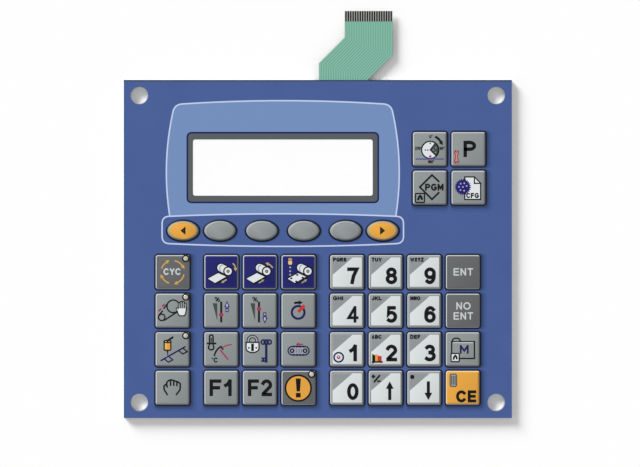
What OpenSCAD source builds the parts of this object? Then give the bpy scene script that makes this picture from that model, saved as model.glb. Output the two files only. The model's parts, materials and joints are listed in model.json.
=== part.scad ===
// Membrane keypad: an embossed, printed film over metal snap domes and a printed
// circuit with a flat tail, all bonded to an aluminium support plate.
// Millimetres. The origin is the centre of the plate's rear face, +Z is the front
// that the fingers meet, +X runs to the right and +Y towards the tail.

/* [Panel] */
// Margin from the outer key columns to the panel's side edges
side_margin = 13.35; // [12:0.05:25]
// Margin from the lowest key row to the panel's bottom edge
bottom_margin = 5.5; // [5:0.1:20]
// Height of the panel's top edge above the display window's centre
top_rise = 36.8; // [30:0.1:60]
// Diameter of the corner fixing holes in the plate
hole_d = 6.9; // [4:0.1:7.5]
// How far the printed film stands back from the plate's fixing holes
film_setback = 0.25; // [0.2:0.05:0.5]
// Distance from each fixing hole's centre to both of its panel edges
hole_inset = 6.5; // [5.5:0.1:7]

/* [Layers] */
// Thickness of the aluminium support plate
plate_t = 2; // [1:0.1:4]
// Thickness of the adhesive between plate and circuit
rear_adhesive_t = 0.15; // [0.05:0.01:0.3]
// Thickness of the circuit film and its tail
circuit_t = 0.175; // [0.1:0.005:0.3]
// Thickness of the spacer that the domes sit in
spacer_t = 0.25; // [0.15:0.01:0.4]
// Thickness of the adhesive under the overlay
overlay_adhesive_t = 0.13; // [0.05:0.01:0.3]
// Thickness of the printed overlay film
overlay_t = 0.25; // [0.15:0.01:0.4]
// How far the inner layers stand back from the fixing holes and the window cut-out
layer_setback = 0.5; // [0.2:0.05:1]

/* [Square keys] */
// Distance between neighbouring key centres
key_pitch = 16.2; // [15.6:0.1:20]
// Extra distance between two blocks of keys
block_gap = 4.25; // [2:0.05:10]
// Width of a key at the foot of its bevel
key_size = 14.4; // [13:0.1:15.2]
// Width of the bevel, seen from above
bevel_w = 1.05; // [0.7:0.05:1.5]
// Corner radius of a key's flat face
face_corner_r = 0.3; // [0.25:0.05:2]
// Height of the embossed keys above the film
emboss_h = 0.55; // [0.4:0.05:0.9]

/* [Mode keys] */
// Distance from the upper right key block's outer column to the right panel edge
mode_edge = 18.2; // [16:0.1:30]
// How far the upper right key block's centre lies below the window's centre
mode_drop = 0.35; // [0:0.05:2]

/* [Oval soft keys] */
// Long axis of an oval key at the foot of its bevel
soft_w = 13.3; // [11:0.1:14]
// Short axis of an oval key at the foot of its bevel
soft_h = 8.2; // [7:0.1:10]
// Width of the bevel on the short axis
soft_bevel_w = 0.7; // [0.5:0.05:1]
// Distance between the centres of the plain oval keys
soft_pitch = 17.6; // [16:0.1:20]
// Distance from each end key to the plain key beside it
soft_end_pitch = 15.5; // [15.2:0.1:20]
// Height of the oval row above the uppermost row of the main keys
soft_rise = 17.4; // [16:0.1:25]

/* [Display window] */
// Width of the clear display window
window_w = 75.5; // [50:0.5:80]
// Height of the clear display window
window_h = 23.6; // [15:0.1:26]
// Offset of the window and the oval row from the panel's centre line
display_x = -14.7; // [-18:0.1:-12]
// Height of the window's centre above the oval row
window_rise = 26.5; // [22:0.1:35]
// How far the cut-out in the plate stands back from the window's clear edge
window_reveal = 3; // [1:0.1:4]
// Corner radius of the cut-out in the plate
cutout_r = 1.5; // [0.5:0.1:4]

/* [Domes] */
// Distance from a square key's foot to the edge of its dome
dome_margin = 1.2; // [0.8:0.1:3]
// Distance from an oval key's long side to the edge of its dome
soft_dome_margin = 0.4; // [0.3:0.05:1.5]
// Thickness of the domes' spring steel
dome_t = 0.08; // [0.05:0.01:0.12]
// Free gap between a square key and the crown of its dome
dome_gap = 0.18; // [0.1:0.01:0.3]
// Free gap between an oval key and the crown of its dome
soft_dome_gap = 0.45; // [0.3:0.01:0.5]
// Clearance around a dome in its spacer opening
dome_clearance = 0.3; // [0.1:0.05:0.5]
// How deep the sides of a four-legged dome are cut in
leg_cut = 0.9; // [0.3:0.1:1.5]
// Width of the air channels between the dome openings
vent_w = 1; // [0.5:0.1:2]

/* [Lamps] */
// Distance from a key's right foot to the centre of its lamp
lamp_side = 1.7; // [1.5:0.1:2.5]
// Distance from a key's top foot to the centre of its lamp
lamp_top = 1.5; // [1.4:0.1:2.5]
// Diameter of the lamp lens on the film
lens_d = 2.3; // [1.5:0.1:3]
// Rise of the lens above the key's face
lens_rise = 0.2; // [0.05:0.05:0.4]
// Length of the lamp chip
lamp_l = 1.6; // [1:0.1:2]
// Width of the lamp chip
lamp_w = 0.8; // [0.5:0.05:1]
// Height of the lamp chip
lamp_h = 0.5; // [0.3:0.05:0.6]
// Height of the base below the lamp's clear block
lamp_base_h = 0.2; // [0.1:0.05:0.25]
// Length of each solder end beside the clear block
lamp_end_l = 0.25; // [0.1:0.05:0.4]
// Clearance around a lamp chip in its spacer pocket
lamp_clearance = 0.3; // [0.1:0.05:0.5]

/* [Tail] */
// Number of contacts at the end of the tail
contact_count = 20; // [8:1:24]
// Distance between neighbouring contacts
contact_pitch = 1; // [0.5:0.05:1.25]
// Width of one contact
contact_w = 0.6; // [0.3:0.05:0.7]
// Length of one contact
contact_l = 4.4; // [3:0.1:8]
// Thickness of the printed contacts
contact_t = 0.03; // [0.02:0.01:0.05]
// Distance from the outer contacts' centres to the tail's edges
tail_edge = 0.55; // [0.5:0.05:2]
// Offset of the tail from the panel's centre line, where it leaves the panel
tail_x = 10.55; // [-10:0.05:20]
// Sideways jog of the tail, at 45 degrees
tail_jog = 10.8; // [2:0.1:12]
// Straight start of the tail along its left edge, above the panel's top edge
tail_start = 7.1; // [7:0.1:20]
// How much lower the tail's right edge bends than its left edge
tail_drop = 7.4; // [4:0.1:9]
// Length of the tail above the panel's top edge
tail_reach = 29; // [28:0.5:80]
// Length of the stiffener under the tail's end
stiffener_l = 8; // [5:0.5:10]
// Thickness of the stiffener
stiffener_t = 0.2; // [0.1:0.05:0.3]
// Clearance beside the tail in the notch of the plate
notch_clearance = 2; // [1:0.1:4]
// Depth of the notch in the plate's top edge
notch_depth = 4; // [2:0.1:6]

/* [Hidden] */
$fn = 64;
dome_fn = 180;
cut_over = 1;

// The keys by name, as rows from the top down
main_names = [
    ["cycle", "film_feed", "film_back", "film_mark", "digit_7", "digit_8", "digit_9", "enter"],
    ["jog", "ramp_up", "ramp_down", "rotate", "digit_4", "digit_5", "digit_6", "no_enter"],
    ["glue", "heat", "lock", "chain", "digit_1", "digit_2", "digit_3", "memory"],
    ["hand", "f1", "f2", "alarm", "digit_0", "arrow_up", "arrow_down", "clear"]];
mode_names = [["angle", "setup"], ["program", "config"]];
soft_names = ["scroll_left", "soft_1", "soft_2", "soft_3", "soft_4", "scroll_right"];
lamp_names = ["cycle", "jog", "glue", "alarm"];
main_columns = len(main_names[0]);
last_row = len(main_names) - 1;
last_column = main_columns - 1;
last_soft = len(soft_names) - 1;

// The panel grows from the key field and its margins
panel_w = last_column * key_pitch + 2 * block_gap + key_size + 2 * side_margin;
panel_h = bottom_margin + key_size / 2 + last_row * key_pitch + soft_rise + window_rise + top_rise;
hole_x = panel_w / 2 - hole_inset;
hole_y = panel_h / 2 - hole_inset;

// Places of the keys: columns 0, 1 to 3 and 4 to 7 are three blocks
function column_x(c) =
    (c - last_column / 2) * key_pitch + block_gap * (c == 0 ? -1 : c < main_columns / 2 ? 0 : 1);
function row_y(r) = -panel_h / 2 + bottom_margin + key_size / 2 + (last_row - r) * key_pitch;
function soft_x(i) = display_x + (i - last_soft / 2) * soft_pitch
    + (soft_pitch - soft_end_pitch) * (i == 0 ? 1 : i == last_soft ? -1 : 0);
soft_y = row_y(0) + soft_rise;
window_y = soft_y + window_rise;
function mode_x(c) = panel_w / 2 - mode_edge - (1 - c) * key_pitch;
function mode_y(r) = window_y - mode_drop + (0.5 - r) * key_pitch;

// Each key is its name and its place
main_keys = [for (r = [0:last_row]) for (c = [0:last_column])
    [main_names[r][c], column_x(c), row_y(r)]];
mode_keys = [for (r = [0:1]) for (c = [0:1]) [mode_names[r][c], mode_x(c), mode_y(r)]];
soft_keys = [for (i = [0:last_soft]) [soft_names[i], soft_x(i), soft_y]];
square_keys = concat(main_keys, mode_keys);
lamp_keys = [for (name = lamp_names) for (key = main_keys) if (key[0] == name) key];

// Heights of the layers, from the plate's rear face up
rear_adhesive_z = plate_t;
circuit_z = rear_adhesive_z + rear_adhesive_t;
spacer_z = circuit_z + circuit_t;
overlay_adhesive_z = spacer_z + spacer_t;
overlay_z = overlay_adhesive_z + overlay_adhesive_t;
film_top_z = overlay_z + overlay_t;
face_z = film_top_z + emboss_h;

// A bevel keeps the film's thickness when its inner face is moved in by this much
bevel_inset = overlay_t * tan(atan2(emboss_h, bevel_w) / 2);
soft_inset = overlay_t * tan(atan2(emboss_h, soft_bevel_w) / 2);
key_corner_r = face_corner_r + bevel_w;
cavity_half = key_size / 2 - bevel_inset;
cavity_r = key_corner_r - bevel_inset;

// Domes fill the height between the circuit and the keys, less their free gap
cavity_h = spacer_t + overlay_adhesive_t + emboss_h;
dome_d = key_size - 2 * dome_margin;
dome_h = cavity_h - dome_gap;
soft_dome_d = soft_h - 2 * soft_dome_margin;
soft_dome_h = cavity_h - soft_dome_gap;
lamp_x = key_size / 2 - lamp_side;
lamp_y = key_size / 2 - lamp_top;
lamp_block_l = lamp_l - 2 * lamp_end_l;

// The tail's outline, from the panel's top edge to the contacts
tail_w = (contact_count - 1) * contact_pitch + 2 * tail_edge;
tail_left = tail_x - tail_w / 2;
tail_right = tail_x + tail_w / 2;
tail_root_y = panel_h / 2 - tail_drop;
tail_bend_y = panel_h / 2 + tail_start;
tail_end_y = panel_h / 2 + tail_reach;
tail_end_x = tail_x + tail_jog;

// A rectangle with round corners, centred
module rounded_rectangle(w, h, r) {
    square([w - 2 * r, h], center = true);
    square([w, h - 2 * r], center = true);
    for (x = [-1, 1])
        for (y = [-1, 1])
            translate([x * (w / 2 - r), y * (h / 2 - r)]) circle(r = r);
}

// The panel's outline without its four fixing holes, and with room to spare round them
module panel_outline(setback) {
    difference() {
        square([panel_w, panel_h], center = true);
        for (x = [-hole_x, hole_x])
            for (y = [-hole_y, hole_y])
                translate([x, y]) circle(d = hole_d + 2 * setback);
    }
}

// The cut-out behind the display window
module window_outline(setback) {
    translate([display_x, window_y])
        rounded_rectangle(window_w + 2 * (window_reveal + setback),
                          window_h + 2 * (window_reveal + setback), cutout_r + setback);
}

// The notch in the top edge that lets the tail fold back behind the plate
module notch_outline(setback) {
    notch_w = tail_w + 2 * (notch_clearance + setback);
    translate([tail_x - notch_w / 2, panel_h / 2 - notch_depth - setback])
        square([notch_w, notch_depth + setback + cut_over]);
}

// A flat strip that starts inside the panel, jogs at 45 degrees and ends in a row of contacts
module tail_outline() {
    polygon([
        [tail_left, tail_root_y],
        [tail_left, tail_bend_y],
        [tail_left + tail_jog, tail_bend_y + tail_jog],
        [tail_left + tail_jog, tail_end_y],
        [tail_right + tail_jog, tail_end_y],
        [tail_right + tail_jog, tail_bend_y + tail_jog - tail_drop],
        [tail_right, tail_bend_y - tail_drop],
        [tail_right, tail_root_y]]);
}

// One embossed square key: flat face, four bevels and conical corners of one slope
module key_emboss(half, r) {
    c = half - r;
    for (turn = [0, 90])
        rotate([0, 0, turn]) rotate([90, 0, 0]) linear_extrude(2 * c, center = true)
            polygon([[-half, 0], [half, 0], [half - bevel_w, emboss_h], [bevel_w - half, emboss_h]]);
    for (quarter = [0:3])
        rotate([0, 0, 90 * quarter]) translate([c, c, 0]) rotate_extrude(angle = 90)
            polygon([[0, 0], [r, 0], [r - bevel_w, emboss_h], [0, emboss_h]]);
}

// One embossed oval key: a cone frustum stretched along X
module soft_emboss(inset) {
    long_half = soft_w / 2 - inset;
    short_half = soft_h / 2 - inset;
    scale([long_half / short_half, 1, 1])
        cylinder(h = emboss_h, r1 = short_half, r2 = short_half - soft_bevel_w);
}

// A clear drop of resin over a lamp, on the corner of its key
module lamp_lens() {
    lens_r = lens_d / 2;
    crown_r = (lens_r * lens_r + lens_rise * lens_rise) / (2 * lens_rise);
    intersection() {
        translate([0, 0, film_top_z]) cylinder(d = lens_d, h = emboss_h + lens_rise + cut_over);
        translate([0, 0, face_z + lens_rise - crown_r]) sphere(r = crown_r);
    }
}

// The printed film: one sheet with every key embossed at an even thickness
module graphic_overlay() {
    color([0.29, 0.38, 0.60])
    difference() {
        union() {
            translate([0, 0, overlay_z]) linear_extrude(overlay_t) panel_outline(film_setback);
            for (key = square_keys)
                translate([key[1], key[2], film_top_z]) key_emboss(key_size / 2, key_corner_r);
            for (key = soft_keys)
                translate([key[1], key[2], film_top_z]) soft_emboss(0);
            for (key = lamp_keys)
                translate([key[1] + lamp_x, key[2] + lamp_y, 0]) lamp_lens();
        }
        for (key = square_keys)
            translate([key[1], key[2], overlay_z]) key_emboss(cavity_half, cavity_r);
        for (key = soft_keys)
            translate([key[1], key[2], overlay_z]) soft_emboss(soft_inset);
    }
}

// The adhesive sheet under the film, open below every key and the window
module overlay_adhesive() {
    color([0.86, 0.86, 0.80])
    difference() {
        translate([0, 0, overlay_adhesive_z]) linear_extrude(overlay_adhesive_t)
            difference() {
                panel_outline(layer_setback);
                window_outline(layer_setback);
                for (key = square_keys)
                    translate([key[1], key[2]])
                        square([2 * cavity_half, 2 * cavity_half], center = true);
            }
        for (key = soft_keys)
            translate([key[1], key[2], overlay_adhesive_z - cut_over])
                scale([(soft_w / 2 - soft_inset) / (soft_h / 2 - soft_inset), 1, 1])
                    cylinder(h = overlay_adhesive_t + 2 * cut_over, r = soft_h / 2 - soft_inset);
    }
}

// Air channels: down every column, across one row, along the ovals and between the blocks
module vent_outline() {
    module run(from, to) {
        low = [min(from[0], to[0]), min(from[1], to[1])];
        high = [max(from[0], to[0]), max(from[1], to[1])];
        translate(low - [vent_w / 2, vent_w / 2]) square(high - low + [vent_w, vent_w]);
    }
    for (c = [0:last_column])
        run([column_x(c), row_y(0)], [column_x(c), row_y(last_row)]);
    run([column_x(0), row_y(1)], [column_x(last_column), row_y(1)]);
    run([soft_x(0), soft_y], [soft_x(last_soft), soft_y]);
    run([soft_x(last_soft - 1), row_y(0)], [soft_x(last_soft - 1), soft_y]);
    for (c = [0:1])
        run([mode_x(c), mode_y(0)], [mode_x(c), mode_y(1)]);
    run([mode_x(0), mode_y(1)], [mode_x(1), mode_y(1)]);
    run([column_x(last_column), row_y(0)], [column_x(last_column), mode_y(1)]);
}

// The spacer: a round opening for each dome, a pocket for each lamp, and the air channels
module dome_spacer() {
    color([0.93, 0.93, 0.90])
    translate([0, 0, spacer_z]) linear_extrude(spacer_t)
        difference() {
            panel_outline(layer_setback);
            window_outline(layer_setback);
            for (key = square_keys)
                translate([key[1], key[2]]) circle(d = dome_d + 2 * dome_clearance);
            for (key = soft_keys)
                translate([key[1], key[2]]) circle(d = soft_dome_d + 2 * dome_clearance);
            for (key = lamp_keys)
                translate([key[1] + lamp_x, key[2] + lamp_y])
                    square([lamp_l + 2 * lamp_clearance, lamp_w + 2 * lamp_clearance], center = true);
            vent_outline();
        }
}

// The circuit: one film, with its tail cut from the same sheet
module circuit_film() {
    color([0.47, 0.68, 0.61])
    translate([0, 0, circuit_z])
        difference() {
            union() {
                linear_extrude(circuit_t) panel_outline(layer_setback);
                linear_extrude(circuit_t) tail_outline();
            }
            translate([0, 0, -cut_over]) linear_extrude(circuit_t + 2 * cut_over)
                window_outline(layer_setback);
        }
}

// The bare contacts on the front of the tail's end
module tail_contacts() {
    first_x = tail_end_x - (contact_count - 1) / 2 * contact_pitch;
    color([0.13, 0.13, 0.14])
    for (i = [0:contact_count - 1])
        translate([first_x + i * contact_pitch - contact_w / 2, tail_end_y - contact_l, spacer_z])
            cube([contact_w, contact_l, contact_t]);
}

// The stiffener behind the contacts
module tail_stiffener() {
    color([0.90, 0.90, 0.86])
    translate([tail_end_x - tail_w / 2, tail_end_y - stiffener_l, circuit_z - stiffener_t])
        cube([tail_w, stiffener_l, stiffener_t]);
}

// The adhesive between circuit and plate
module rear_adhesive() {
    color([0.86, 0.86, 0.80])
    translate([0, 0, rear_adhesive_z]) linear_extrude(rear_adhesive_t)
        difference() {
            panel_outline(layer_setback);
            window_outline(layer_setback);
            notch_outline(layer_setback);
        }
}

// The aluminium plate that carries the laminate and takes the fixing screws
module support_plate() {
    color([0.74, 0.75, 0.76])
    linear_extrude(plate_t)
        difference() {
            panel_outline(0);
            window_outline(0);
            notch_outline(0);
        }
}

// A thin spherical cap that stands on its rim
module dome_cap(d, h) {
    crown_r = (d * d / 4 + h * h) / (2 * h);
    difference() {
        intersection() {
            translate([0, 0, h - crown_r]) sphere(r = crown_r, $fn = dome_fn);
            cylinder(d = d + cut_over, h = h + cut_over);
        }
        translate([0, 0, h - crown_r]) sphere(r = crown_r - dome_t, $fn = dome_fn);
    }
}

// A snap dome under a square key: its four sides are cut in, so it stands on four legs
module four_leg_dome() {
    color([0.78, 0.78, 0.76])
    difference() {
        dome_cap(dome_d, dome_h);
        for (side = [0:3])
            rotate([0, 0, 90 * side]) translate([dome_d - leg_cut, 0, -cut_over])
                cylinder(d = dome_d, h = dome_h + 2 * cut_over);
    }
}

// A plain round snap dome under an oval key
module round_dome() {
    color([0.78, 0.78, 0.76]) dome_cap(soft_dome_d, soft_dome_h);
}

// A lamp chip: a base with a narrower clear block on it
module lamp_chip() {
    color([0.95, 0.93, 0.80]) {
        translate([-lamp_l / 2, -lamp_w / 2, 0]) cube([lamp_l, lamp_w, lamp_base_h]);
        translate([-lamp_block_l / 2, -lamp_w / 2, lamp_base_h])
            cube([lamp_block_l, lamp_w, lamp_h - lamp_base_h]);
    }
}

support_plate();
rear_adhesive();
circuit_film();
tail_contacts();
tail_stiffener();
dome_spacer();
overlay_adhesive();
graphic_overlay();
for (key = square_keys)
    translate([key[1], key[2], spacer_z]) four_leg_dome();
for (key = soft_keys)
    translate([key[1], key[2], spacer_z]) round_dome();
for (key = lamp_keys)
    translate([key[1] + lamp_x, key[2] + lamp_y, spacer_z]) lamp_chip();
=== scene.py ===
# %% [markdown]
# A membrane keypad is a flat sandwich: an aluminium plate, a printed circuit with a tail, snap domes and, on
# top, one printed film with its keys pressed up into it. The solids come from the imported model. This lesson
# makes what the eye meets: the film, its inks and the light on them. It works in millimetres, and turns them
# into metres at the last step.

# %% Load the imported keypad
import json

import bmesh
import bpy
import numpy as np
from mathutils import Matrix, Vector


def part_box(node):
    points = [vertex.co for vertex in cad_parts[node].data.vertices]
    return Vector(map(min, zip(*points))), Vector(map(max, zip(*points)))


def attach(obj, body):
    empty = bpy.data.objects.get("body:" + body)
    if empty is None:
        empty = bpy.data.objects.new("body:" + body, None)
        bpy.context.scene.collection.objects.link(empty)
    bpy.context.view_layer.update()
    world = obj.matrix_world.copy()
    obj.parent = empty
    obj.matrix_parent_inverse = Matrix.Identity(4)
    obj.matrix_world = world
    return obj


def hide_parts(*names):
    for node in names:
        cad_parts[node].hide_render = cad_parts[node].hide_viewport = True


MM = 0.001
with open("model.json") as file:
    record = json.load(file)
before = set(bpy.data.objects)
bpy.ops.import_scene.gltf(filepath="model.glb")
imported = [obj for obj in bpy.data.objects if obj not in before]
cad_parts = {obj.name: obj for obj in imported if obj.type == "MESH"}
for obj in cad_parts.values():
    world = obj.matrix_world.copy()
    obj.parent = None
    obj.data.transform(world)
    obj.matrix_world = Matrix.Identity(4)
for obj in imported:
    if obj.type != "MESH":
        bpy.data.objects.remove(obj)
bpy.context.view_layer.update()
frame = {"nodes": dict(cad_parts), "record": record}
nodes = frame["nodes"]

# %% [markdown]
# Every key has a snap dome under its middle, and four keys have a lamp in their corner. So the places needn't
# be typed again: the middle of each dome's box is the middle of its key. The heights follow from the film's
# underside, its thickness and the rise of its keys.

# %% Read the places from the frame
KEY_ROWS = (
    "cycle film_feed film_back film_mark digit_7 digit_8 digit_9 enter",
    "jog ramp_up ramp_down rotate digit_4 digit_5 digit_6 no_enter",
    "glue heat lock chain digit_1 digit_2 digit_3 memory",
    "hand f1 f2 alarm digit_0 arrow_up arrow_down clear",
    "angle setup program config",
)
square_keys = " ".join(KEY_ROWS).split()
oval_keys = "scroll_left soft_1 soft_2 soft_3 soft_4 scroll_right".split()
all_keys = square_keys + oval_keys
lamp_keys = "cycle jog glue alarm".split()


def middle(node):
    """The middle of a node's box, seen from above, in millimetres."""
    low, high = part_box(node)
    return np.array((low + high) / 2)[:2] / MM


key_at = {name: middle("dome_" + name) for name in all_keys}
lamp_at = {name: middle("lamp_" + name) for name in lamp_keys}
FILM_T = 0.25
EMBOSS = 0.55
film_low, film_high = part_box("graphic_overlay")
panel_half = np.array(film_high - film_low)[:2] / MM / 2
film_under = film_low.z / MM
film_top = film_under + FILM_T
face_top = film_top + EMBOSS
circuit_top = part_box("circuit_film")[1].z / MM
display_box = np.array(frame["record"]["physics"]["openings"][0]["box_m"]) / MM
display_at = display_box.mean(0)[:2]
print(len(square_keys), "square keys,", len(oval_keys), "oval keys, display at", display_at.round(2))

# %% [markdown]
# A colour is written as it is seen on the panel, from 0 to 255, and changed to the linear light that a shader
# works with. The stage brightens a level surface a little and its sheen adds a trace of white, so both are
# taken off again. Ink under film has an even colour, so it sits on the shader's own socket. What tells film
# from paint is its satin grain: a noise of about a millimetre moves the roughness, and a much finer one the
# height.

# %% Make the inks
LEVEL_LIGHT = 1.147
SHEEN = 0.048
GLOSS = 0.2
DARKEST = 0.001
SATIN_ROUGH = 0.55
ROUGH_SPAN = 0.06
ROUGH_SCALE = 700
GRAIN_SCALE = 6000
GRAIN_DEPTH = 0.001
NOISE_DETAIL = 3.0
NOISE_LOW, NOISE_HIGH = 0.3, 0.7


def linear(red, green, blue):
    """Screen colour to linear light: ((c + 0.055) / 1.055) to the power 2.4, and c / 12.92 when dark."""
    c = np.array([red, green, blue]) / 255
    return np.where(c > 0.04045, ((c + 0.055) / 1.055) ** 2.4, c / 12.92)


def base(colour, gloss=GLOSS):
    """The base colour that shows as the given one on the stage: (seen - sheen x gloss) / light."""
    bare = np.maximum((linear(*colour) - SHEEN * gloss) / LEVEL_LIGHT, DARKEST)
    return (*bare.tolist(), 1.0)


def put(node, **values):
    """Set a node's sockets by their names, written with _ for a space."""
    for name, value in values.items():
        node.inputs[name.replace("_", " ")].default_value = value
    return node


def surface(name, gloss=GLOSS, **values):
    """A new node material, with the given values on its Principled shader's own sockets."""
    material = bpy.data.materials.new(name)
    material.use_nodes = True
    put(material.node_tree.nodes["Principled BSDF"], Specular_IOR_Level=gloss, **values)
    return material


def drive(material, socket, output):
    """Let a node's output set one of the shader's sockets."""
    tree = material.node_tree
    tree.links.new(output, tree.nodes["Principled BSDF"].inputs[socket])


def wander(material, scale, low=0.0, high=1.0, stretch=(1, 1, 1)):
    """A noise on Object coordinates whose value runs from low to high."""
    add, link = material.node_tree.nodes.new, material.node_tree.links.new
    place = add("ShaderNodeTexCoord")
    turn = put(add("ShaderNodeMapping"), Scale=stretch)
    noise = put(add("ShaderNodeTexNoise"), Scale=scale, Detail=NOISE_DETAIL)
    spread = put(add("ShaderNodeMapRange"), From_Min=NOISE_LOW, From_Max=NOISE_HIGH, To_Min=low, To_Max=high)
    link(place.outputs["Object"], turn.inputs["Vector"])
    link(turn.outputs["Vector"], noise.inputs["Vector"])
    link(noise.outputs["Fac"], spread.inputs["Value"])
    return spread.outputs["Result"]


def grain(material, height, distance):
    """A bump whose height is the given value, over the given distance in millimetres."""
    tree = material.node_tree
    bump = put(tree.nodes.new("ShaderNodeBump"), Strength=1.0, Distance=distance * MM)
    tree.links.new(height, bump.inputs["Height"])
    drive(material, "Normal", bump.outputs["Normal"])


def two_tone(material, first, second, share):
    """A base colour that mixes two seen colours by a share from 0 to 1."""
    tree = material.node_tree
    tone = tree.nodes.new("ShaderNodeMix")
    tone.data_type = "RGBA"
    put(tone, A=base(first), B=base(second))
    tree.links.new(share, tone.inputs["Factor"])
    drive(material, "Base Color", tone.outputs["Result"])


def satin_grain(material, rough=SATIN_ROUGH, depth=GRAIN_DEPTH):
    """The surface of satin film: one noise in the roughness and a finer one in the height."""
    drive(material, "Roughness", wander(material, ROUGH_SCALE, rough - ROUGH_SPAN, rough + ROUGH_SPAN))
    grain(material, wander(material, GRAIN_SCALE), depth)
    return material


def satin(name, colour, rough=SATIN_ROUGH, gloss=GLOSS, depth=GRAIN_DEPTH):
    """Ink seen through satin film: even colour and satin grain."""
    return satin_grain(surface(name, gloss, Base_Color=base(colour, gloss)), rough, depth)


INK_COLOURS = {
    "light_blue": (117, 143, 189),
    "panel_blue": (73, 95, 150),
    "pale_line": (196, 209, 240),
    "navy_line": (30, 36, 86),
    "frame_grey": (90, 95, 99),
    "edge_dark": (58, 70, 90),
    # shade_1 to shade_5 are painted shadow: the soft shade ink beside each key.
    "shade_1": (70, 93, 147),
    "shade_2": (66, 89, 141),
    "shade_3": (61, 82, 131),
    "shade_4": (57, 76, 119),
    "shade_5": (52, 67, 102),
    "outline": (22, 30, 54),
    # The rim inks are painted light: a painted highlight on the lit upper left, painted shade at the right and
    # below.
    "rim_light": (189, 193, 195),
    "rim_cream": (226, 206, 164),
    "rim_right": (84, 86, 88),
    "rim_mid": (110, 112, 115),
    "rim_low": (138, 139, 144),
    "key_grey": (142, 148, 148),
    "key_dark": (101, 103, 104),
    "key_navy": (36, 38, 105),
    # The bevel inks by side are painted light: darker or lighter tones for the lit side, the right and below,
    # set against the stage's light.
    "lit_grey": (132, 138, 138),
    "lit_dark": (92, 94, 95),
    "low_grey": (172, 177, 179),
    "side_dark": (118, 120, 122),
    "side_navy": (54, 58, 117),
    "lit_orange": (213, 153, 65),
    "low_orange": (238, 180, 96),
    "key_white": (214, 219, 220),
    "corner_grey": (146, 150, 153),
    "orange": (225, 162, 69),
    "gold": (202, 160, 90),
    "tan": (190, 164, 118),
    "sand": (168, 158, 118),
    "cream": (232, 196, 132),
    "black": (24, 26, 28),
    "white": (224, 228, 230),
    "word_white": (202, 206, 207),
    "red": (196, 60, 56),
    "brick": (158, 62, 66),
    "pink": (205, 140, 140),
    "rose": (164, 58, 84),
    "navy": (40, 36, 108),
    "violet": (88, 84, 152),
    "lilac": (178, 180, 216),
    "wedge_grey": (72, 78, 77),
    "mid_grey": (162, 165, 170),
}
inks = {name: satin(name, colour) for name, colour in INK_COLOURS.items()}
print(len(inks), "inks")

# %% [markdown]
# Nearly every printed shape is a band between two curves: a line lies between its left and right edges, a
# ring between two circles, a disc between its rim and its middle. So one rule makes them all: a profile of
# four points, up one curve and down the other, is carried along, and the band closes into a thin plate of
# ink. Layers printed later lie a hair higher, as real ink does, so no two faces fight for the same place.

# %% Shapes as bands between two curves
INK_T = 0.012
INK_GAIN = 0.1
INK_STEP = 0.003
INK_SUNK = 0.02
ARC_STEP = 9
NEAR = 1e-6
TINY = 1e-9
MITRE_LIMIT = 0.45
HEAD_HALF = 0.55
MERGE_M = 1e-8
FLAT_M = 1e-9


def turned(degrees):
    """Unit vectors at the given angles."""
    a = np.radians(degrees)
    return np.column_stack([np.cos(a), np.sin(a)])


def arc(x, y, r, start=0, end=360, ry=None):
    """Points along an ellipse: x + r cos a, y + ry sin a, for a from start to end degrees."""
    steps = max(3, int(abs(end - start) / ARC_STEP) + 1)
    return (x, y) + turned(np.linspace(start, end, steps)) * (r, r if ry is None else ry)


def path(*runs):
    """One run of points from single points and whole arcs, without points that repeat the one before."""
    p = np.vstack([np.atleast_2d(run) for run in runs]).astype(float)
    return p[np.append(True, np.linalg.norm(np.diff(p, axis=0), axis=1) > NEAR)]


def unit(v):
    """Each row divided by its length."""
    return v / np.maximum(np.linalg.norm(v, axis=1, keepdims=True), TINY)


def left_of(v):
    """Each row turned left by a right angle."""
    return v[:, ::-1] * (-1, 1)


def line(ink, width, *runs, cap=0.0):
    """A line of ink: each point moves half a width to both sides, along the mitre of its two stretches.
    Wet ink spreads, so a line prints wider by the gain. A line that ends where it starts is closed, and
    an open one grows by cap at both ends."""
    p = path(*runs)
    closed = len(p) > 3 and np.allclose(p[0], p[-1], atol=NEAR)
    if closed:
        p = p[:-1]
    else:
        p[[0, -1]] += cap * unit(p[[0, -1]] - p[[1, -2]])
    before = np.roll(p, 1, 0) if closed else np.vstack([2 * p[0] - p[1], p[:-1]])
    after = np.roll(p, -1, 0) if closed else np.vstack([p[1:], 2 * p[-1] - p[-2]])
    square_on = left_of(unit(after - p))
    mitre = unit(left_of(unit(p - before)) + square_on)
    reach = (width + INK_GAIN) / 2 / np.maximum((mitre * square_on).sum(1, keepdims=True), MITRE_LIMIT)
    return [(ink, p + mitre * reach, p - mitre * reach, closed)]


def patch(ink, *runs):
    """A filled outline: the band between the outline and its middle."""
    p = path(*runs)
    p = p[:-1] if np.allclose(p[0], p[-1], atol=NEAR) else p
    return [(ink, p, np.repeat(p.mean(0, keepdims=True), len(p), 0), True)]


def disc(ink, x, y, r, ry=None):
    """A filled ellipse: the band between its rim and its middle."""
    return patch(ink, arc(x, y, r, ry=ry))


def ring(ink, width, x, y, r):
    """A line round a circle."""
    return line(ink, width, arc(x, y, r))


def edged(fill, edge, width, *runs):
    """A filled outline with a line round it."""
    p = path(*runs)
    return patch(fill, p) + line(edge, width, p, p[0])


def arrow(ink, width, head, *runs):
    """A line that ends in a pointed head, as long as head says and a little wider."""
    p = path(*runs)
    way = unit(p[-1:] - p[-2:-1])
    across = left_of(way) * head * HEAD_HALF
    return line(ink, width, p) + patch(ink, p[-1] + across, p[-1] + way * head, p[-1] - across)


def each(draw, places):
    """The layers of one shape drawn at several places, which are rows of values or single ones."""
    return [layer for at in places for layer in draw(*(at if np.ndim(at) else (at,)))]


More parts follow.
